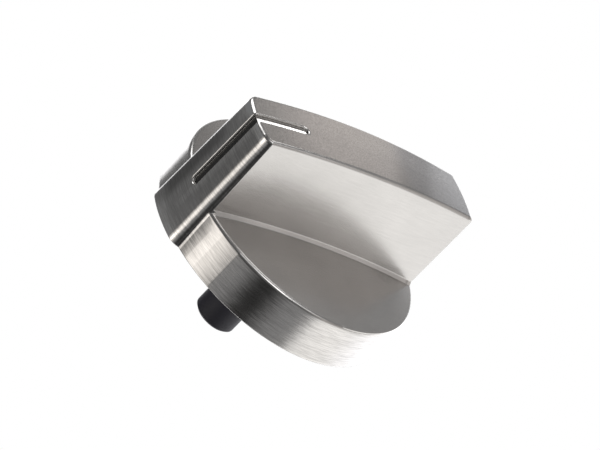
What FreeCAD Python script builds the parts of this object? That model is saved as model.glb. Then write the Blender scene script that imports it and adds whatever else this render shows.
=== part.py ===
import FreeCAD, Part
import math
import os

# Push-on knob for a stove. A cast and brushed metal shell, with a round skirt, a domed
# face and a bar grip across it, is pressed over a moulded plastic hub whose stem takes
# the flatted shaft of a valve. A steel leaf in the stem's bore grips the shaft.
# The origin is on the shaft's axis in the plane of the skirt's lower rim. +Z runs up to
# the grip, away from the panel, and +Y runs to the nose that carries the pointer line.
# All lengths are in millimetres and all angles in degrees.

V = FreeCAD.Vector

# Skirt
SKIRT_RADIUS = 30.15
SKIRT_HEIGHT = 10.95
SKIRT_WALL = 2.0
DOME_RISE = 2.05
DOME_WALL = 2.2
RIM_ROUND = 0.9

# Bar grip. Its sides bow outwards in plan, and in front they flare towards the foot
GRIP_HALF_WIDTH = 7.62
GRIP_END_HALF_WIDTH = 6.9
GRIP_FRONT_FLARE = 0.96
GRIP_WALL = 2.0
GRIP_EDGE_ROUND = 0.9
GRIP_FOOT_CHAMFER = 0.65
CROWN_HEIGHT = 34.0
CROWN_RADIUS = 235.0
CROWN_SHIFT = -2.5
CROWN_WALL = 2.4
REAR_INSET = 0.25
REAR_DRAFT = 0.5

# Nose, the block at the front of the grip that runs down to the skirt's rim and stands
# out from its wall. The angle is that of its sides' normals from +Y
NOSE_STAND = 1.47
NOSE_DRAFT = 1.55
NOSE_HALF_WIDTH = 7.52
NOSE_SIDE_DRAFT = 1.45
NOSE_SIDE_ANGLE = 70.0
NOSE_CORNER_ROUND = 3.0

# Pointer line, one groove with rounded lips over the crown and down the nose
POINTER_WIDTH = 2.0
POINTER_DEPTH = 0.7
POINTER_LIP_ROUND = 0.4
POINTER_BACK = 17.4
POINTER_FOOT = 11.0

# Hub plate and its ribs
HUB_SEAT_HEIGHT = 5.0
HUB_SEAT_WIDTH = 1.8
HUB_PLATE = 2.0
HUB_CLEARANCE = 0.15
HUB_RIB_COUNT = 8
HUB_RIB_THICKNESS = 1.4
HUB_RIB_HEIGHT = 1.8
HUB_RING_RADIUS = 21.0

# Key, the ribbed block on the plate that fills the grip's hollow and carries the turn
KEY_HEIGHT = 13.0
KEY_LENGTH = 40.0
KEY_WEB = 3.0
KEY_RIB_COUNT = 5
KEY_RIB_THICKNESS = 2.0
KEY_BOSS_RADIUS = 4.6
KEY_CLEARANCE = 0.05

# Stem and its bore for a flatted shaft
STEM_RADIUS = 5.05
STEM_LENGTH = 20.0
STEM_END_CHAMFER = 0.5
STEM_COLLAR_RADIUS = 7.4
SHAFT_DIAMETER = 6.0
SHAFT_ACROSS_FLAT = 4.6
BORE_CLEARANCE = 0.05
BORE_DEPTH = 20.0
BORE_LEAD = 0.4

# Spring leaf in a pocket behind the bore's flat
LEAF_WIDTH = 3.4
LEAF_LENGTH = 12.0
LEAF_THICKNESS = 0.35
LEAF_REACH = 0.15
LEAF_CLEARANCE = 0.1
LEAF_START = 1.5
LEAF_POCKET_DEPTH = 1.1

# How far a cutting or joining solid runs past the surface that it works on
OVERRUN = 1.0
WIDE = 1.5 * SKIRT_RADIUS
FAR = 2.0 * SKIRT_RADIUS
TOP = CROWN_HEIGHT + OVERRUN

NOSE_RADIUS = SKIRT_RADIUS + NOSE_STAND
DOME_RADIUS = (SKIRT_RADIUS ** 2 + DOME_RISE ** 2) / (2 * DOME_RISE)
DOME_CENTRE = SKIRT_HEIGHT + DOME_RISE - DOME_RADIUS


def rise(angle):
    return math.tan(math.radians(angle))


def arc(start, middle, end):
    return Part.Arc(start, middle, end).toShape()


def line(start, end):
    return Part.makeLine(start, end)


def solid_of(shape):
    """A boolean's result with its split faces joined, as one solid where it is one."""
    clean = shape.removeSplitter()
    return clean.Solids[0] if len(clean.Solids) == 1 else clean


def box(x0, x1, y0, y1, z0, z1):
    return Part.makeBox(x1 - x0, y1 - y0, z1 - z0, V(x0, y0, z0))


def upright_cylinder(radius, z0, z1):
    return Part.makeCylinder(radius, z1 - z0, V(0, 0, z0))


# Surfaces that several pieces share

def under_dome(inset=0.0):
    """The sphere of the domed face, or the one inset from it, with its poles to the sides."""
    ball = Part.makeSphere(DOME_RADIUS - inset)
    ball.rotate(V(0, 0, 0), V(1, 0, 0), 90)
    ball.translate(V(0, 0, DOME_CENTRE))
    return ball


def under_crown(inset=0.0):
    """Everything under the crown's long arc, or under the surface inset from it. The seam of
    its cylinder is turned to the bottom, so that it doesn't split the crown."""
    across = V(1, 0, 0)
    centre = V(-FAR, CROWN_SHIFT, CROWN_HEIGHT - CROWN_RADIUS)
    log = Part.makeCylinder(CROWN_RADIUS - inset, 2 * FAR, centre, across)
    log.rotate(centre, across, 180)
    return log


def bar_outline(z, inset):
    """Plan of a long bar between the grip's two bowed sides, which flare in front."""
    down = (CROWN_HEIGHT - z) / (CROWN_HEIGHT - SKIRT_HEIGHT)
    front = GRIP_END_HALF_WIDTH + down * GRIP_FRONT_FLARE - inset
    middle = GRIP_HALF_WIDTH - inset
    rear = GRIP_END_HALF_WIDTH - inset
    reach = NOSE_RADIUS + OVERRUN
    return Part.Wire([
        arc(V(rear, -reach, z), V(middle, 0, z), V(front, reach, z)),
        line(V(front, reach, z), V(-front, reach, z)),
        arc(V(-front, reach, z), V(-middle, 0, z), V(-rear, -reach, z)),
        line(V(-rear, -reach, z), V(rear, -reach, z))])


def bar(z0, z1, inset=0.0):
    """The grip's sides as a long bar, or the surfaces a wall's thickness inside them."""
    return Part.makeLoft([bar_outline(z0, inset), bar_outline(z1, inset)], True, True)


def nose_outline(z):
    """Plan of the nose: a front arc about the axis, and two flat sides that spread backwards."""
    radius = NOSE_RADIUS - z * rise(NOSE_DRAFT)
    half = NOSE_HALF_WIDTH - z * rise(NOSE_SIDE_DRAFT)
    front = math.sqrt(radius ** 2 - half ** 2)
    back = half + front / rise(NOSE_SIDE_ANGLE)
    return Part.Wire([
        arc(V(-half, front, z), V(0, radius, z), V(half, front, z)),
        line(V(half, front, z), V(back, 0, z)),
        line(V(back, 0, z), V(-back, 0, z)),
        line(V(-back, 0, z), V(-half, front, z))])


def nose_column():
    """The nose's drafted front and sides as an upright column, its front corners rounded."""
    column = Part.makeLoft([nose_outline(0), nose_outline(TOP)], True, True)
    corners = [e for e in column.Edges
               if e.BoundBox.ZLength > OVERRUN and e.BoundBox.YMin > SKIRT_RADIUS / 2]
    return column.makeFillet(NOSE_CORNER_ROUND, corners)


def rear_column():
    """The drafted round rear end of the grip, as the rear half of a cone about the axis."""
    at_disc = SKIRT_RADIUS - REAR_INSET
    low = at_disc + SKIRT_HEIGHT * rise(REAR_DRAFT)
    high = at_disc - (TOP - SKIRT_HEIGHT) * rise(REAR_DRAFT)
    return Part.makeCone(low, high, TOP).common(box(-FAR, FAR, -FAR, 0, 0, TOP))


# The shell

def envelope():
    """What the shell stays inside: the skirt with its rounded rim, carried up a little over
    the dome, and the grip's two ends. The rim's round touches the wall and the dome, so its
    centre is one radius inside both."""
    over_dome = SKIRT_HEIGHT + DOME_RISE + OVERRUN
    across = SKIRT_RADIUS - RIM_ROUND
    above = math.sqrt((DOME_RADIUS - RIM_ROUND) ** 2 - across ** 2)
    lean = math.atan2(above, across)

    def rim(angle):
        up = DOME_CENTRE + above + RIM_ROUND * math.sin(angle)
        return V(0, across + RIM_ROUND * math.cos(angle), up)

    foot = V(0, SKIRT_RADIUS, 0)
    over = V(0, rim(lean).y, over_dome)
    axis = V(0, 0, over_dome)
    edges = [line(V(0, 0, 0), foot), line(foot, rim(0)), arc(rim(0), rim(lean / 2), rim(lean)),
             line(rim(lean), over), line(over, axis), line(axis, V(0, 0, 0))]
    inside_rim = Part.Face(Part.Wire(edges)).revolve(V(0, 0, 0), V(0, 0, 1), 360)
    return solid_of(inside_rim.fuse([nose_column(), rear_column()]))


def dome_and_bar():
    """A wide domed disc and the long bar across it, with a chamfer at the foot of its sides. It
    stands in for the casting's round, whose surface would take thousands of facets."""
    disc = upright_cylinder(WIDE, 0, CROWN_HEIGHT).common(under_dome())
    blank = solid_of(disc.fuse(bar(SKIRT_HEIGHT / 2, TOP)))
    dome_top = SKIRT_HEIGHT + DOME_RISE
    feet = [e for e in blank.Edges
            if e.BoundBox.YLength > SKIRT_RADIUS and SKIRT_HEIGHT < e.BoundBox.ZMax < dome_top]
    return blank.makeChamfer(GRIP_FOOT_CHAMFER, feet)


def crowned(blank):
    """Everything of it under the crown's long arc, with the crown's edges rounded."""
    blank = solid_of(blank.common(under_crown()))
    edges = [e for e in blank.Edges if e.BoundBox.ZMin > (SKIRT_HEIGHT + CROWN_HEIGHT) / 2]
    return blank.makeFillet(GRIP_EDGE_ROUND, edges)


def pointer_slot():
    """The space of the pointer line: a slot over the crown and one down the nose, each with
    a round end and cut to the line's depth under its surface."""
    half = POINTER_WIDTH / 2
    back = POINTER_BACK + half
    foot = POINTER_FOOT + half
    inside = SKIRT_RADIUS / 2
    over = box(-half, half, back, FAR, 0, FAR).fuse(Part.makeCylinder(half, FAR, V(0, back, 0)))
    down = box(-half, half, inside, FAR, foot, FAR)
    down = down.fuse(Part.makeCylinder(half, FAR, V(0, inside, foot), V(0, 1, 0)))
    floor = NOSE_RADIUS - POINTER_DEPTH
    core = Part.makeCone(floor, floor - FAR * rise(NOSE_DRAFT), FAR)
    return over.cut(under_crown(POINTER_DEPTH)).fuse(down.cut(core))


def with_pointer_line(blank):
    """The blank with the pointer line cut in it, and the line's lips rounded."""
    blank = solid_of(blank.cut(pointer_slot()))
    width = POINTER_WIDTH * 1.05
    inside = [f for f in blank.Faces if abs(f.CenterOfMass.x) < width and f.BoundBox.XLength < width
              and f.BoundBox.YMin > SKIRT_RADIUS / 2 and f.BoundBox.ZMin > POINTER_FOOT / 2]
    walls = [e for f in inside for e in f.Edges]
    outside = [f for f in blank.Faces if not any(f.isSame(g) for g in inside)]
    lips = [e for f in outside for e in f.Edges if any(e.isSame(w) for w in walls)]
    return blank.makeFillet(POINTER_LIP_ROUND, lips)


def shell_hollow():
    """The inside of the shell: the hub's pocket, the space under the dome and in the grip."""
    pocket = SKIRT_RADIUS - SKIRT_WALL
    inner = pocket - HUB_SEAT_WIDTH
    below_seat = HUB_SEAT_HEIGHT - OVERRUN
    seat = upright_cylinder(pocket, -OVERRUN, HUB_SEAT_HEIGHT)
    wide = upright_cylinder(inner, below_seat, CROWN_HEIGHT)
    core = bar(below_seat, CROWN_HEIGHT, GRIP_WALL).common(wide).common(under_crown(CROWN_WALL))
    return seat.fuse([wide.common(under_dome(DOME_WALL)), core])


def knob_shell():
    body = with_pointer_line(crowned(dome_and_bar().common(envelope())))
    return solid_of(body.cut(shell_hollow()))


# The hub

def hub_plate():
    radius = SKIRT_RADIUS - SKIRT_WALL - HUB_CLEARANCE
    return upright_cylinder(radius, HUB_SEAT_HEIGHT - HUB_PLATE, HUB_SEAT_HEIGHT)


def hub_ribs():
    """Radial ribs under the plate, from a collar round the stem to a low ring."""
    high = HUB_SEAT_HEIGHT - HUB_PLATE
    low = high - HUB_RIB_HEIGHT
    half = HUB_RIB_THICKNESS / 2
    ring = upright_cylinder(HUB_RING_RADIUS + half, low, high)
    ring = ring.cut(upright_cylinder(HUB_RING_RADIUS - half, low - OVERRUN, high + OVERRUN))
    ribs = [ring, upright_cylinder(STEM_COLLAR_RADIUS, low, high)]
    for i in range(HUB_RIB_COUNT):
        rib = box(0, HUB_RING_RADIUS, -half, half, low, high)
        rib.rotate(V(0, 0, 0), V(0, 0, 1), 360.0 * i / HUB_RIB_COUNT)
        ribs.append(rib)
    return ribs


def key():
    """A web along the grip's hollow with cross ribs that reach its walls."""
    low = HUB_SEAT_HEIGHT - HUB_PLATE / 2
    high = HUB_SEAT_HEIGHT + KEY_HEIGHT
    end = KEY_LENGTH / 2
    half = KEY_RIB_THICKNESS / 2
    web = box(-KEY_WEB / 2, KEY_WEB / 2, -end, end, low, high)
    cross = [upright_cylinder(KEY_BOSS_RADIUS, low, high)]
    for i in range(KEY_RIB_COUNT):
        y = (end - half) * (2.0 * i / (KEY_RIB_COUNT - 1) - 1)
        cross.append(box(-GRIP_HALF_WIDTH, GRIP_HALF_WIDTH, y - half, y + half, low, high))
    hollow = bar(0, CROWN_HEIGHT, GRIP_WALL + KEY_CLEARANCE)
    return web.fuse(cross).common(hollow)


def stem():
    """The round stem, from inside the plate down to its chamfered end."""
    rod = upright_cylinder(STEM_RADIUS, -STEM_LENGTH, HUB_SEAT_HEIGHT)
    end = [e for e in rod.Edges if e.BoundBox.ZMax < -STEM_LENGTH / 2]
    return rod.makeChamfer(STEM_END_CHAMFER, end)


def bore_flat():
    """Distance from the axis to the flat wall of the bore."""
    return SHAFT_ACROSS_FLAT - SHAFT_DIAMETER / 2 + BORE_CLEARANCE


def bore():
    """The flatted bore with a lead-in at its mouth, and the spring leaf's pocket."""
    radius = SHAFT_DIAMETER / 2 + BORE_CLEARANCE
    mouth = -STEM_LENGTH
    deep = mouth + BORE_DEPTH
    hole = upright_cylinder(radius, mouth - OVERRUN, deep)
    hole = hole.common(box(-radius, radius, -radius, bore_flat(), mouth - OVERRUN, deep))
    lead = Part.makeCone(radius + BORE_LEAD, radius, BORE_LEAD, V(0, 0, mouth))
    half = LEAF_WIDTH / 2 + LEAF_CLEARANCE
    start = mouth + LEAF_START
    end = start + LEAF_LENGTH + 2 * (LEAF_THICKNESS + LEAF_CLEARANCE)
    pocket = box(-half, half, 0, bore_flat() + LEAF_POCKET_DEPTH, start, end)
    return hole.fuse([lead, pocket])


def hub_insert():
    body = hub_plate().fuse([stem(), key()] + hub_ribs())
    return solid_of(body.cut(bore()))


# The spring leaf

def spring_leaf():
    """A thin strip bowed on one arc, from the back of its pocket a little into the bore."""
    back = bore_flat() + LEAF_POCKET_DEPTH - LEAF_CLEARANCE
    bow = LEAF_POCKET_DEPTH - LEAF_CLEARANCE + LEAF_REACH - LEAF_THICKNESS
    half = LEAF_LENGTH / 2
    inner = (half ** 2 + bow ** 2) / (2 * bow)
    outer = inner + LEAF_THICKNESS
    angle = math.asin(half / inner)
    centre_y = back + inner * math.cos(angle)
    centre_z = -STEM_LENGTH + LEAF_START + LEAF_THICKNESS + LEAF_CLEARANCE + half

    def point(radius, turn):
        y = centre_y - radius * math.cos(turn)
        return V(-LEAF_WIDTH / 2, y, centre_z + radius * math.sin(turn))

    edges = [arc(point(inner, -angle), point(inner, 0), point(inner, angle)),
             line(point(inner, angle), point(outer, angle)),
             arc(point(outer, angle), point(outer, 0), point(outer, -angle)),
             line(point(outer, -angle), point(inner, -angle))]
    return Part.Face(Part.Wire(edges)).extrude(V(LEAF_WIDTH, 0, 0))


def main():
    os.makedirs("parts", exist_ok=True)
    pieces = {"knob_shell": knob_shell(), "hub_insert": hub_insert(), "spring_leaf": spring_leaf()}
    for name, shape in pieces.items():
        shape.exportStep("parts/" + name + ".step")
        print(name, "solids", len(shape.Solids), "valid", shape.isValid(), "volume", round(shape.Volume, 1))


main()
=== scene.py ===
"""A push-on stove knob in a studio: the brushed metal shell, the moulded hub with its stem,
and the spring leaf in the stem's bore. Lengths are in metres, and angles in radians where
no comment says degrees."""

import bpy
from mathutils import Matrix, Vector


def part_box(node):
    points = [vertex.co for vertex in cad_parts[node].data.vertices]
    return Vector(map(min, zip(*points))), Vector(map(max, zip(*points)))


bl_info = {
    "name": "Stove knob finishes",
    "version": (1, 0, 0),
    "blender": (4, 5, 0),
    "location": "View3D > Sidebar > Knob",
    "description": "Finishes the pieces of a push-on stove knob and sets up their studio",
    "category": "Object",
}

import math

import bpy
import numpy as np
from bpy.props import FloatProperty, FloatVectorProperty, PointerProperty
from bpy.types import Operator, Panel, PropertyGroup
from mathutils import Matrix, Vector

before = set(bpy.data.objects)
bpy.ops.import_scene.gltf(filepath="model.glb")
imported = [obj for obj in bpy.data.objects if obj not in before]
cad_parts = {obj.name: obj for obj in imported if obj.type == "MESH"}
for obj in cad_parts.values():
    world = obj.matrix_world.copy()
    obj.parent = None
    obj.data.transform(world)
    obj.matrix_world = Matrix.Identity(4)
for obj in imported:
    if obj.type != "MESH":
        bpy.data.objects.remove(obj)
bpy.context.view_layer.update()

# The shell's places. The camera's side is that of -X
SHELL_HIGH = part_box("knob_shell")[1]
SKIRT_RADIUS = SHELL_HIGH.x
WALL_EDGE = (SKIRT_RADIUS * 0.93, SKIRT_RADIUS * 0.95)
CROWN_TOP = SHELL_HIGH.z
CROWN_RADIUS = 0.235
CROWN_MIDDLE = -0.0025
NOSE_RADIUS = SHELL_HIGH.y
NOSE_TAPER = math.tan(math.radians(1.55))

# The faint crease and the step in the skirt's wall, beside the nose
CREASE_AZIMUTH = math.radians(15.9)
CREASE_LEAN = 1.3
STEP_AZIMUTH = math.radians(35.8)
STEP_WIDTH = math.radians(5.0)
STEP_EDGE = 0.05
STEP_TURN_BEFORE = -0.025
STEP_TURN_AFTER = 0.045

# The azimuth and elevation in degrees that the lit half of the pointer groove's floor faces
LIT_FLOOR_FACING = (45.0, 70.0)

# The brushing, and how much of it the nose, the face and the grip lose
FINE_SHARE = 0.7
BROAD_SCALE = 0.31
SWAY_SCALE = 1.3
STREAK_ROUGHNESS = 0.6
STREAK_GLOSS = 0.06
NOSE_CALM = 0.7
FACE_DEPTH = 0.15
FACE_STREAKS = 0.2
FACE_TONE = 0.79

# The metal's patterns. Tones are a pattern's low and high value and what they become
STREAK_TONES = (0.38, 0.62, 0.82, 1.12)
CLOUD_SCALE = 90.0
CLOUD_TONES = (0.3, 0.7, 0.96, 1.03)
GRIT_SCALE = 2800.0
GRIT_ROUGHNESS = 0.7
GRIT_TONE = 0.9
GRIT_BASE = 0.56
# How far the crown's darker band leans across it
DARK_BAND_LEAN = 0.4
COOL_RED = -0.02
COOL_BLUE = 0.035

# The plastic and the spring's steel. A tone is a pattern's weight and what it adds to
FLOW_SCALE = 160.0
FLOW_TONE = (0.4, 0.8)
GRAIN_DEPTH = 0.00003
GRAIN_GLOSS = 0.12
ROLLED_ACROSS = 9000.0
ROLLED_ALONG = 300.0
ROLLED_TONE = (0.3, 0.85)
ROLLED_GLOSS = (0.15, 0.22)
ROLLED_DEPTH = 0.000004

# The studio
SENSOR_WIDTH = 36.0
NEAREST_SEEN = 0.01
FLOOR_REACH = 3.0
FLOOR_PALE = (0.9, 0.9, 0.9)
WHITE = (1.0, 1.0, 1.0)
CARD_GRID = (49, 25)


# Shader maths


class Socket:
    """A value on a surface. Arithmetic on it adds Math nodes to its graph."""

    def __init__(self, graph, output):
        self.graph = graph
        self.output = output

    def math(self, operation, *others):
        inputs = dict(enumerate((self, *others)))
        return self.graph.node("Math", {"operation": operation}, inputs)

    def __add__(self, other):
        return self.math("ADD", other)

    def __sub__(self, other):
        return self.math("SUBTRACT", other)

    def __rsub__(self, other):
        return self.graph.value("SUBTRACT", other, self)

    def __mul__(self, other):
        return self.math("MULTIPLY", other)

    def __truediv__(self, other):
        return self.math("DIVIDE", other)

    def __rtruediv__(self, other):
        return self.graph.value("DIVIDE", other, self)

    def __pow__(self, other):
        return self.math("POWER", other)

    def __neg__(self):
        return self * -1.0

    def __abs__(self):
        return self.math("ABSOLUTE")

    __radd__ = __add__
    __rmul__ = __mul__

    def step(self, low, high):
        """Smoothly 0 at low and 1 at high, or the other way round where low is the larger."""
        settings = {"interpolation_type": "SMOOTHSTEP"}
        inputs = {0: self, 1: low, 2: high, 3: 0.0, 4: 1.0}
        if low > high:
            inputs = {0: self, 1: high, 2: low, 3: 1.0, 4: 0.0}
        return self.graph.node("MapRange", settings, inputs)

    def band(self, low, high, soft):
        """1 between low and high, fading to 0 over soft outside them."""
        return self.step(low - soft, low) * self.step(high + soft, high)


class Graph:
    """The nodes of one material or world."""

    def __init__(self, tree):
        self.tree = tree
        tree.nodes.clear()

    def node(self, kind, settings=None, inputs=None, out=0):
        """Adds a node, sets its settings, then the value or link of each of its sockets."""
        made = self.tree.nodes.new("ShaderNode" + kind)
        for name, value in (settings or {}).items():
            setattr(made, name, value)
        for key, value in (inputs or {}).items():
            if isinstance(value, Socket):
                self.tree.links.new(value.output, made.inputs[key])
            else:
                made.inputs[key].default_value = value
        return Socket(self, made.outputs[out])

    def value(self, operation, first, second):
        return self.node("Math", {"operation": operation}, {0: first, 1: second})

    def vector(self, x, y, z):
        return self.node("CombineXYZ", None, {0: x, 1: y, 2: z})

    def parts(self, vector):
        """The three components of a vector."""
        split = self.node("SeparateXYZ", None, {0: vector})
        outputs = split.output.node.outputs
        return [Socket(self, outputs[i]) for i in range(3)]

    def mix(self, factor, first, second, kind="RGBA", blend="MIX"):
        """Colours or vectors mixed by a factor."""
        first_key, second_key, out = {"RGBA": (6, 7, 2), "VECTOR": (4, 5, 1)}[kind]
        settings = {"data_type": kind}
        if kind == "RGBA":
            settings["blend_type"] = blend
        return self.node("Mix", settings, {0: factor, first_key: first, second_key: second}, out)

    def noise(self, vector, scale, detail=2.0, roughness=0.5):
        inputs = {"Vector": vector, "Scale": scale, "Detail": detail, "Roughness": roughness}
        return self.node("TexNoise", {"noise_dimensions": "3D"}, inputs)

    def remap(self, value, low, high, new_low, new_high):
        """A value whose range from low to high becomes the one from new_low to new_high."""
        inputs = {0: value, 1: low, 2: high, 3: new_low, 4: new_high}
        return self.node("MapRange", None, inputs)

    def bump(self, height, normal=None):
        """The normal over a surface whose height is in metres."""
        inputs = {"Strength": 1.0, "Distance": 1.0, "Height": height}
        if normal:
            inputs["Normal"] = normal
        return self.node("Bump", None, inputs)

    def shade(self, colour, tone):
        """A colour times a tone."""
        return self.mix(1.0, rgb(colour), self.vector(tone, tone, tone), "RGBA", "MULTIPLY")

    def output(self, kind, shader):
        end = self.tree.nodes.new("ShaderNodeOutput" + kind)
        self.tree.links.new(shader.output, end.inputs["Surface"])


def rgb(colour):
    return (*colour[:3], 1.0)


def new_material(name):
    made = bpy.data.materials.new(name)
    made.use_nodes = True
    return made, Graph(made.node_tree)


def paint(obj, made):
    obj.data.materials.clear()
    obj.data.materials.append(made)


# The values that a user would change


class KnobMetal(PropertyGroup):
    """The shell's brushed metal."""

    colour: FloatVectorProperty(name="Metal", description="Colour that the metal reflects",
                                subtype="COLOR", size=3, min=0, max=1,
                                default=(0.67, 0.655, 0.64))
    face_roughness: FloatProperty(name="Face roughness",
                                  description="Roughness of the domed face and grip",
                                  min=0, max=1, default=0.23)
    wall_roughness: FloatProperty(name="Wall roughness",
                                  description="Roughness of the skirt's wall and the nose",
                                  min=0, max=1, default=0.17)
    streak_width: FloatProperty(name="Streak width", description="Width of one brushing streak",
                                subtype="DISTANCE", unit="LENGTH", default=0.00014)
    streak_length: FloatProperty(name="Streak length", description="Length of one brushing streak",
                                 subtype="DISTANCE", unit="LENGTH", default=0.0035)
    streak_depth: FloatProperty(name="Streak depth", description="Depth of the brushing",
                                subtype="DISTANCE", unit="LENGTH", default=0.000006)
    sway: FloatProperty(name="Streak sway",
                        description="How far single streaks turn the wall's normal",
                        min=0, max=1, default=0.15)
    edge_round: FloatProperty(name="Edge round", description="Radius that softens sharp edges",
                              subtype="DISTANCE", unit="LENGTH", default=0.0003)


class KnobPlastic(PropertyGroup):
    """The hub's moulded plastic and the leaf's steel."""

    colour: FloatVectorProperty(name="Plastic", description="Colour of the hub and stem",
                                subtype="COLOR", size=3, min=0, max=1,
                                default=(0.020, 0.019, 0.030))
    roughness: FloatProperty(name="Plastic roughness", description="Roughness of the hub and stem",
                             min=0, max=1, default=0.55)
    grain: FloatProperty(name="Grain", description="Size of the mould's fine grain",
                         subtype="DISTANCE", unit="LENGTH", default=0.00035)
    steel: FloatVectorProperty(name="Spring steel", description="Colour that the leaf reflects",
                               subtype="COLOR", size=3, min=0, max=1, default=(0.56, 0.57, 0.58))


class KnobStudio(PropertyGroup):
    """The camera and the light."""

    azimuth: FloatProperty(name="Azimuth", description="Camera's angle from the nose",
                           subtype="ANGLE", default=math.radians(45.65))
    elevation: FloatProperty(name="Elevation",
                             description="Camera's angle above the rim's plane",
                             subtype="ANGLE", default=math.radians(26.32))
    roll: FloatProperty(name="Roll", description="Camera's turn about its own line of sight",
                        subtype="ANGLE", default=math.radians(44.21))
    lens: FloatProperty(name="Lens", description="Focal length in millimetres on a 36 mm sensor",
                        default=171.49)
    place: FloatVectorProperty(name="Camera", description="Where the camera stands", subtype="XYZ",
                               unit="LENGTH", size=3, default=(-0.3901, 0.3818, 0.2803))
    floor_drop: FloatProperty(name="Floor drop", description="How far the floor lies below the rim",
                              subtype="DISTANCE", unit="LENGTH", default=1.25)


# The shell. Its finish, and the shade and highlights painted into its tone, change where
# values of ShellPoint lie in the spans below, in metres and radians. Two numbers are a smooth
# step from where a span is 0 to where it is 1. Three are a band's two ends and how far it
# fades outside them


WALL = {"outward": (0.35, 0.5), "radius": WALL_EDGE}
INSIDE_RIM = {"radius": WALL_EDGE[::-1]}
RIM = {"radius": (SKIRT_RADIUS * 0.955, SKIRT_RADIUS * 0.965)}
SKIRT_HEIGHTS = (0.0112, 0.0108)
SWAYING = {"x": (0.014, 0.007)}
FACE = {"z": (0.0145, 0.0135)}
CROWN = {"up": (0.965, 0.985), "z": (0.022, 0.024)}
COOL_PATCH = {**CROWN, "y": (-0.006, -0.012)}
NOSE = {"radius": (SKIRT_RADIUS + 0.0001, SKIRT_RADIUS + 0.0003)}
NOSE_FRONT = {**NOSE, "outward": (0.93, 0.97)}
FAR_STRIP = (0.001, 0.004)

GROOVE = {"from_line": (0.00111, 0.001), "y": (0.016, 0.017), "z": (0.010, 0.011)}
FLOOR_DEPTH = (0.0004, 0.0005)
FLOOR_FACING = (0.8, 0.9)
NOSE_FLOOR = {**GROOVE, "nose_depth": FLOOR_DEPTH, "outward": FLOOR_FACING}
CROWN_FLOOR = {**GROOVE, "crown_depth": FLOOR_DEPTH, "up": FLOOR_FACING}
FAR_FLOOR = {**CROWN_FLOOR, "x": (0.0003, 0.00055)}
LIT_FLOOR = {**CROWN_FLOOR, "x": (0.00055, 0.0003)}

# Changes of the wall's normal, and of the tone of each area, with the spans of each
WALL_TURNS = {
    "crease": (-0.12, {"from_crease": (0.0, 0.012, 0.003), "z": SKIRT_HEIGHTS}),
    "nose_side": (0.25, {"sideways": (0.87, 0.965, 0.03), "y": (0.0275, 0.028)}),
}
WALL_TONES = {
    # Painted shade, low on the wall beside the nose
    "grey_shade": (-0.27, {"azimuth": (0.285, 0.355, 0.02), "z": (0.0095, 0.0075)}),
    # Painted shade that dims the wall's bright reflection beside the nose
    "dimmed_reflection": (-0.15, {"azimuth": (0.465, 0.605, 0.02), "z": SKIRT_HEIGHTS}),
    "step_line": (-0.2, {"from_step": (-0.07, 0.02, 0.06)}),
}
# Painted shade and painted highlights on the nose's front face, by side and height: its far strip
# darker, less so higher up, its near strip darker, and its near lip, foot and top lighter
NOSE_TONES = {
    "far_strip": (-0.5, {"x": FAR_STRIP, "z": (0.0005, 0.006)}),
    "far_middle": (0.1, {"x": FAR_STRIP, "z": (0.018, 0.021)}),
    "far_upper": (0.35, {"x": FAR_STRIP, "z": (0.021, 0.025)}),
    "far_top": (0.35, {"x": FAR_STRIP, "z": (0.026, 0.029)}),
    "near_strip": (-0.13, {"x": (-0.0024, -0.0034), "z": (0.008, 0.012)}),
    "near_lip": (0.12, {"x": (-0.0019, -0.001, 0.0005), "z": (0.004, 0.008)}),
    "foot": (0.5, {"x": (0.005, 0.001), "z": (0.004, 0.0005)}),
    "top": (0.5, {"z": (0.0292, 0.0302)}),
}
# A painted highlight along the rim towards the rear
RIM_TONES = {
    "rear_line": (0.45, {"azimuth": (1.75, 2.1), "up": (0.35, 0.92, 0.05)}),
}
# A painted highlight on the rounded edges inside the rim, away from the front
EDGE_TONES = {
    "crown_edge": (0.28, {"up": (0.55, 0.82, 0.1), "y": (0.027, 0.016)}),
}
# Painted shade on the domed face, towards its rear and its front
FACE_TONES = {
    "rear": (-0.12, {"y": (-0.012, -0.020), "radius": (0.030, 0.024)}),
    "front": (-0.10, {"y": (0.010, 0.026)}),
}
# The crown: a darker band across it towards its rear, painted shade on its near side and a painted
# highlight on its far side
CROWN_TONES = {
    "dark_band": (-0.28, {"from_dark_band": (-0.015, -0.011, 0.006)}),
    "near_side": (-0.09, {"x": (-0.001, -0.0085)}),
    "far_side": (0.09, {"x": (-0.001, 0.003)}),
}
# The groove's floor: painted shade on the nose, a painted shadow in the crown's far half and a
# painted highlight in its near, lit half
FLOOR_TONES = {
    "nose_floor": (-0.82, NOSE_FLOOR),
    "far_floor": (-0.45, FAR_FLOOR),
    "lit_floor": (0.45, LIT_FLOOR),
}


def inside(point, spans):
    """1 where all of a point's values that the spans name lie in them: their product."""
    share = 1.0
    for name, span in spans.items():
        value = getattr(point, name)
        share = (value.band(*span) if len(span) == 3 else value.step(*span)) * share
    return share


def changes(point, group):
    """The sum of a group's changes, each times its share at the point."""
    total = 0.0
    for change, spans in group.values():
        total = inside(point, spans) * change + total
    return total


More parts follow.
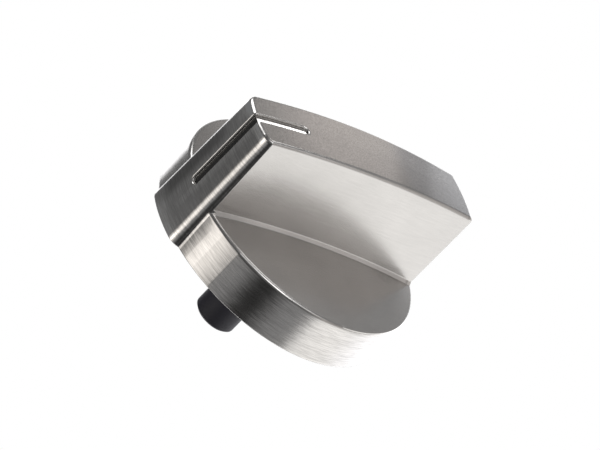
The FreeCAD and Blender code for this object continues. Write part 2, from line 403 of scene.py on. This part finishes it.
class ShellPoint:
    """Where a point of the shell lies and which way it faces, as sockets. The azimuth runs
    from the nose towards the camera's side. Outward is the part of the normal that points
    away from the shaft's axis, up its part along Z, and sideways the size of its part along
    X. A depth on the crown is measured down from its arc, which falls by the square of the
    distance from its middle over twice its radius, and one on the nose inwards from its cone,
    whose radius falls by its taper times the height."""

    def __init__(self, g):
        self.place = g.node("TexCoord", out=3)
        self.x, self.y, self.z = g.parts(self.place)
        across, forward, self.up = g.parts(g.node("NewGeometry", out=1))
        self.sideways = abs(across)
        self.radius = (self.x * self.x + self.y * self.y) ** 0.5
        self.azimuth = (-self.x).math("ARCTAN2", self.y)
        self.outward = (across * self.x + forward * self.y) / self.radius

        self.from_step = (self.azimuth - STEP_AZIMUTH) / STEP_WIDTH
        self.from_crease = self.azimuth + self.z * CREASE_LEAN - CREASE_AZIMUTH
        self.from_line = abs(self.x)
        self.from_dark_band = self.y + self.x * DARK_BAND_LEAN
        from_middle = self.y - CROWN_MIDDLE
        arc_drop = from_middle * from_middle * (0.5 / CROWN_RADIUS)
        self.crown_depth = CROWN_TOP - self.z - arc_drop
        self.nose_depth = NOSE_RADIUS - self.radius - self.z * NOSE_TAPER
        self.wall = inside(self, WALL)
        self.not_wall = 1.0 - self.wall


def brushing(g, point, values):
    """Streaks from 0 to 1, fine ones and broad ones mixed, and how far each turns the wall.
    They run round the skirt and across the nose, and along the grip and its crown."""
    along = 1.0 / values.streak_length
    across = 1.0 / values.streak_width
    round_skirt = g.vector(point.x * along, point.y * along, point.z * across)
    along_grip = g.vector(point.x * across, point.y * along, point.z * across)
    lines = g.mix(point.wall, along_grip, round_skirt, "VECTOR")
    fine = g.noise(lines, 1.0, 2.0, STREAK_ROUGHNESS)
    broad = g.noise(lines, BROAD_SCALE, 1.0)
    streaks = fine * FINE_SHARE + broad * (1.0 - FINE_SHARE)
    sway = g.noise(round_skirt, SWAY_SCALE, 2.0, STREAK_ROUGHNESS) - 0.5
    sway = sway * inside(point, SWAYING) * values.sway
    return streaks, sway * (1.0 - inside(point, NOSE) * NOSE_CALM)


def shell_normal(g, point, streaks, sway, values):
    """The normal with sharp edges rounded and streaks raised. On the wall it also turns about
    the shaft's axis: by the streaks' sway, by the step, whose bend falls off evenly over
    STEP_WIDTH to both sides of it, and by the crease and the nose's sides. The groove's lit
    floor leans on the crown."""
    beside_step = (1.0 - abs(point.from_step)).math("MAXIMUM", 0.0)
    past_step = point.from_step.step(-STEP_EDGE, STEP_EDGE)
    bend = beside_step * (past_step * (STEP_TURN_AFTER - STEP_TURN_BEFORE) + STEP_TURN_BEFORE)
    turn = point.wall * (sway - bend + changes(point, WALL_TURNS))
    rounded = g.node("Bevel", {"samples": 8}, {"Radius": values.edge_round})
    turned = g.node("VectorMath", {"operation": "ADD"}, {
        0: rounded,
        1: g.vector(point.y / point.radius * turn, -point.x / point.radius * turn, 0.0)})
    depth = point.wall * (1.0 - FACE_DEPTH) + FACE_DEPTH
    raised = g.bump(streaks * depth * values.streak_depth, turned)
    leaning = direction(*LIT_FLOOR_FACING).tolist()
    return g.mix(inside(point, LIT_FLOOR), raised, leaning, "VECTOR")


def shell_tone(g, point, streaks):
    """How light the metal is: its streaks, which are weaker off the wall, soft clouds, the
    painted shade and painted highlights of each area, a dark line at the wall's step, and
    the crown's grit."""
    grain = g.remap(streaks, *STREAK_TONES)
    clouds = g.remap(g.noise(point.place, CLOUD_SCALE, 3.0), *CLOUD_TONES)
    off_wall = grain * FACE_STREAKS + FACE_TONE
    tone = (grain * point.wall + point.not_wall * off_wall) * clouds
    # The changes of each area: painted shade and painted highlights, and the dark line at the
    # wall's step
    for area, group in ((point.wall, WALL_TONES),
                        (inside(point, NOSE_FRONT), NOSE_TONES),
                        (inside(point, RIM), RIM_TONES),
                        (point.not_wall * inside(point, INSIDE_RIM), EDGE_TONES),
                        (point.not_wall * inside(point, FACE), FACE_TONES),
                        (1.0, FLOOR_TONES)):
        tone = tone * (changes(point, group) * area + 1.0)
    grit = g.noise(point.place, GRIT_SCALE, 2.0, GRIT_ROUGHNESS) * GRIT_TONE + GRIT_BASE
    # The crown's grit, with its darker band, painted shade on its near side and a painted highlight
    # on its far side
    grit_and_shade = (changes(point, CROWN_TONES) + 1.0) * grit
    return tone * (inside(point, CROWN) * (grit_and_shade - 1.0) + 1.0)


def brushed_metal(values):
    """Brushed and lacquered metal, rougher on the face and grip than on the wall, and a little
    bluer on the crown's rear."""
    made, g = new_material("brushed_metal")
    point = ShellPoint(g)
    streaks, sway = brushing(g, point, values)
    tone = shell_tone(g, point, streaks)
    cool = inside(point, COOL_PATCH)
    tint = g.vector(tone * (cool * COOL_RED + 1.0), tone, tone * (cool * COOL_BLUE + 1.0))
    base = g.mix(1.0, rgb(values.colour), tint, "RGBA", "MULTIPLY")
    roughness = point.wall * (values.wall_roughness - values.face_roughness)
    roughness = roughness + values.face_roughness + streaks * STREAK_GLOSS
    g.output("Material", g.node("BsdfPrincipled", None, {
        "Base Color": base, "Roughness": roughness, "Metallic": 1.0,
        "Normal": shell_normal(g, point, streaks, sway, values)}))
    return made


class KNOB_OT_shell(Operator):
    """Gives the cast shell its brushed metal."""

    bl_idname = "knob.shell"
    bl_label = "Shell"

    def execute(self, context):
        paint(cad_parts["knob_shell"], brushed_metal(context.scene.knob_metal))
        return {"FINISHED"}


# The hub and its spring leaf


def moulded_plastic(values):
    """Black moulded plastic with the mould's fine matte grain."""
    made, g = new_material("moulded_plastic")
    place = g.node("TexCoord", out=3)
    grain = g.noise(place, 1.0 / values.grain, 2.0, 0.6)
    flow = g.noise(place, FLOW_SCALE, 2.0)
    g.output("Material", g.node("BsdfPrincipled", None, {
        "Base Color": g.shade(values.colour, flow * FLOW_TONE[0] + FLOW_TONE[1]),
        "Roughness": grain * GRAIN_GLOSS + values.roughness,
        "Normal": g.bump(grain * GRAIN_DEPTH)}))
    return made


class KNOB_OT_hub(Operator):
    """Gives the moulded hub and its stem their black plastic."""

    bl_idname = "knob.hub"
    bl_label = "Hub"

    def execute(self, context):
        paint(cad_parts["hub_insert"], moulded_plastic(context.scene.knob_plastic))
        return {"FINISHED"}


def rolled_steel(values):
    """Spring strip, rolled lengthwise."""
    made, g = new_material("rolled_steel")
    x, y, z = g.parts(g.node("TexCoord", out=3))
    lines = g.vector(x * ROLLED_ACROSS, y * ROLLED_ACROSS, z * ROLLED_ALONG)
    rolled = g.noise(lines, 1.0, 2.0)
    g.output("Material", g.node("BsdfPrincipled", None, {
        "Base Color": g.shade(values.steel, rolled * ROLLED_TONE[0] + ROLLED_TONE[1]),
        "Roughness": rolled * ROLLED_GLOSS[0] + ROLLED_GLOSS[1],
        "Metallic": 1.0, "Normal": g.bump(rolled * ROLLED_DEPTH)}))
    return made


class KNOB_OT_leaf(Operator):
    """Gives the spring leaf its rolled steel."""

    bl_idname = "knob.leaf"
    bl_label = "Spring leaf"

    def execute(self, context):
        paint(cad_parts["spring_leaf"], rolled_steel(context.scene.knob_plastic))
        return {"FINISHED"}


# The studio. Directions are an azimuth from the nose towards the camera's side and an
# elevation above the rim's plane, both in degrees. A card lies between two of each, at its
# reach in metres. Its soft shares fade out at its first and last azimuth, and then at its
# lowest and highest elevation


CARDS = {
    "upper_tent": {"az": (-180, 180), "el": (6, 90), "reach": 1.20, "soft": (0, 0, 0.08, 0),
                   "colour": (1.03, 0.98, 0.95), "strength": 0.40},
    "zenith_gap": {"az": (140, 232), "el": (44, 88), "reach": 1.19, "soft": (0.1, 0.1, 0.1, 0),
                   "colour": WHITE, "strength": 0.22},
    "front_tent": {"az": (-112, 112), "el": (-70, 80), "reach": 1.18, "soft": (0.05, 0.05, 0, 0.1),
                   "colour": WHITE, "strength": 0.12},
    "grey_gap": {"az": (198, 226), "el": (9, 50), "reach": 1.14, "soft": (0.3, 0.05, 0.1, 0.2),
                 "colour": WHITE, "strength": 0.27},
    "crown_card": {"az": (221, 240), "el": (15, 52), "reach": 1.10, "soft": (0.2, 0.1, 0.1, 0.2),
                   "colour": (1.05, 0.98, 0.94), "strength": 0.57},
    "far_gap": {"az": (232.6, 264), "el": (8, 48), "reach": 1.09, "soft": (0.1, 0.1, 0.1, 0.15),
                "colour": WHITE, "strength": 0.2},
    "low_softbox": {"az": (112, 267), "el": (-70, 3), "reach": 1.08, "soft": (0.5, 0.02, 0, 0.1),
                    "colour": (1.0, 1.0, 1.02), "strength": 1.6},
    "rear_strip": {"az": (180, 233), "el": (1, 18), "reach": 1.07, "soft": (0.15, 0.12, 0.05, 0.45),
                   "colour": (1.0, 1.0, 1.02), "strength": 1.05},
    "warm_softbox": {"az": (92, 172), "el": (-70, 28), "reach": 1.05, "soft": (0.32, 0.5, 0, 0.35),
                     "colour": (1.0, 0.99, 0.97), "strength": 1.15},
    "nose_window": {"az": (-17, 34), "el": (-70, 14), "reach": 1.02, "soft": (0.36, 0.5, 0, 0.12),
                    "colour": (1.04, 1.0, 0.95), "strength": 1.45},
    "grey_flag": {"az": (22, 115), "el": (-70, 12), "reach": 1.00, "soft": (0.06, 0.25, 0, 0.1),
                  "colour": (1.0, 1.0, 1.01), "strength": 0.26},
    "black_flag": {"az": (35, 84), "el": (-70, 16), "reach": 0.97, "soft": (0.4, 0.45, 0, 0.1),
                   "colour": WHITE, "strength": 0.02},
    "black_strip": {"az": (25, 52), "el": (-15, 16), "reach": 0.96, "soft": (0.1, 0.3, 0.2, 0.1),
                    "colour": WHITE, "strength": 0.05},
    "far_flag": {"az": (-94, -16), "el": (-70, 12), "reach": 0.94, "soft": (0.03, 0.1, 0, 0.1),
                 "colour": (0.99, 1.0, 1.01), "strength": 0.15},
    "edge_card": {"az": (-93, -38), "el": (16, 52), "reach": 0.92, "soft": (0.1, 0.1, 0.2, 0.3),
                  "colour": WHITE, "strength": 2.8},
    "rim_ring": {"az": (-8, 150), "el": (50, 80), "reach": 0.90, "soft": (0.3, 0.1, 0.2, 0.2),
                 "colour": WHITE, "strength": 0.9},
    "rim_glint": {"az": (46, 100), "el": (52, 74), "reach": 0.89, "soft": (0.3, 0.3, 0.2, 0.2),
                  "colour": WHITE, "strength": 2.8},
    "line_card": {"az": (208, 244), "el": (58, 74), "reach": 0.88, "soft": (0.2, 0.2, 0.2, 0.2),
                  "colour": WHITE, "strength": 3.0},
}


def direction(azimuth, elevation):
    """Unit vector (-sin a cos e, cos a cos e, sin e) of an azimuth a and an elevation e in
    degrees, also for whole arrays of them."""
    a, e = np.radians(azimuth), np.radians(elevation)
    return np.stack([-np.sin(a) * np.cos(e), np.cos(a) * np.cos(e), np.sin(e)], axis=-1)


def grid_mesh(name, points):
    """A mesh of four-sided faces from a grid of points. Its UV map runs from 0 at the first
    row and column to 1 at the last."""
    rows, columns = points.shape[:2]
    index = np.arange(rows * columns).reshape(rows, columns)
    corners = [index[:-1, :-1], index[1:, :-1], index[1:, 1:], index[:-1, 1:]]
    faces = np.stack([c.ravel() for c in corners], axis=-1)
    mesh = bpy.data.meshes.new(name)
    mesh.from_pydata(points.reshape(-1, 3).tolist(), [], faces.tolist())
    uv = mesh.uv_layers.new(name="grid")
    u, v = np.meshgrid(np.linspace(0, 1, rows), np.linspace(0, 1, columns), indexing="ij")
    both = np.stack([u.ravel(), v.ravel()], axis=-1)[faces.ravel()]
    uv.data.foreach_set("uv", both.astype(np.float32).ravel())
    obj = bpy.data.objects.new(name, mesh)
    bpy.context.scene.collection.objects.link(obj)
    return obj


def card_light(name, card):
    """A light that fades out towards the card's edges. What is shown is the product of a
    smooth step from each edge inwards."""
    made, g = new_material(name)
    u, v, _ = g.parts(g.node("UVMap", {"uv_map": "grid"}))
    shown = 1.0
    for along, soft in zip((u, 1.0 - u, v, 1.0 - v), card["soft"]):
        if soft:
            shown = along.step(0.0, soft) * shown
    light = g.node("Emission", None, {0: rgb(card["colour"]), 1: card["strength"]})
    clear = g.node("BsdfTransparent")
    g.output("Material", g.node("MixShader", None, {0: shown, 1: clear, 2: light}))
    return made


def studio_card(name, card):
    """Part of a sphere about the knob: the direction at each azimuth and elevation of the
    card, times its reach."""
    azimuth = np.linspace(*card["az"], CARD_GRID[0])
    elevation = np.linspace(*card["el"], CARD_GRID[1])
    a, e = np.meshgrid(azimuth, elevation, indexing="ij")
    obj = grid_mesh(name, direction(a, e) * card["reach"])
    paint(obj, card_light(name, card))
    obj.visible_camera = False
    obj.visible_shadow = False
    return obj


def studio_floor(values):
    """A flat pale floor that the camera and reflections see as white."""
    across = np.linspace(-FLOOR_REACH, FLOOR_REACH, 3)
    x, y = np.meshgrid(across, across, indexing="ij")
    obj = grid_mesh("floor", np.stack([x, y, np.full_like(x, -values.floor_drop)], axis=-1))
    made, g = new_material("floor_white")
    path = g.node("LightPath").output.node.outputs
    seen = sum((Socket(g, path[name]) for name in ("Is Glossy Ray", "Is Transmission Ray")),
               Socket(g, path["Is Camera Ray"]))
    diffuse = g.node("BsdfDiffuse", None, {0: rgb(FLOOR_PALE)})
    white = g.node("Emission", None, {0: rgb(WHITE), 1: 1.0})
    g.output("Material", g.node("MixShader", None, {0: seen, 1: diffuse, 2: white}))
    paint(obj, made)


def studio_world():
    world = bpy.data.worlds.new("studio")
    bpy.context.scene.world = world
    world.use_nodes = True
    g = Graph(world.node_tree)
    g.output("World", g.node("Background", None, {0: rgb(WHITE), 1: 1.0}))


def studio_camera(values):
    """The photograph's camera, from its place, azimuth, elevation and roll."""
    back = Vector(direction(math.degrees(values.azimuth), math.degrees(values.elevation)))
    across = Vector((0, 0, 1)).cross(back).normalized()
    up = back.cross(across)
    c, s = math.cos(values.roll), math.sin(values.roll)
    axes = [across * c + up * s, up * c - across * s, back]
    camera = bpy.data.objects.new("camera", bpy.data.cameras.new("camera"))
    bpy.context.scene.collection.objects.link(camera)
    turn = Matrix(axes).transposed().to_4x4()
    camera.matrix_world = Matrix.Translation(values.place) @ turn
    camera.data.sensor_width = SENSOR_WIDTH
    camera.data.lens = values.lens
    camera.data.clip_start = NEAREST_SEEN
    bpy.context.scene.camera = camera


class KNOB_OT_studio(Operator):
    """Sets up the floor, the cards, the world and the camera."""

    bl_idname = "knob.studio"
    bl_label = "Studio"

    def execute(self, context):
        values = context.scene.knob_studio
        studio_floor(values)
        for name, card in CARDS.items():
            studio_card(name, card)
        studio_world()
        studio_camera(values)
        context.scene.view_settings.view_transform = "Standard"
        return {"FINISHED"}


class KNOB_PT_panel(Panel):
    """The knob's steps and their values."""

    bl_idname = "KNOB_PT_panel"
    bl_label = "Knob"
    bl_space_type = "VIEW_3D"
    bl_region_type = "UI"
    bl_category = "Knob"

    def draw(self, context):
        for name in GROUPS:
            values = getattr(context.scene, name)
            box = self.layout.box()
            for key in values.bl_rna.properties.keys():
                if key not in ("rna_type", "name"):
                    box.prop(values, key)
        for step in STEPS:
            self.layout.operator(step.bl_idname)


STEPS = (KNOB_OT_shell, KNOB_OT_hub, KNOB_OT_leaf, KNOB_OT_studio)
GROUPS = {"knob_metal": KnobMetal, "knob_plastic": KnobPlastic, "knob_studio": KnobStudio}


def register():
    for item in (*GROUPS.values(), *STEPS, KNOB_PT_panel):
        bpy.utils.register_class(item)
    for name, group in GROUPS.items():
        setattr(bpy.types.Scene, name, PointerProperty(type=group))


def unregister():
    for name in GROUPS:
        delattr(bpy.types.Scene, name)
    for item in (KNOB_PT_panel, *reversed(STEPS), *GROUPS.values()):
        bpy.utils.unregister_class(item)


def main():
    register()
    bpy.ops.knob.shell()
    bpy.ops.knob.hub()
    bpy.ops.knob.leaf()
    bpy.ops.knob.studio()


if __name__ == "__main__":
    main()
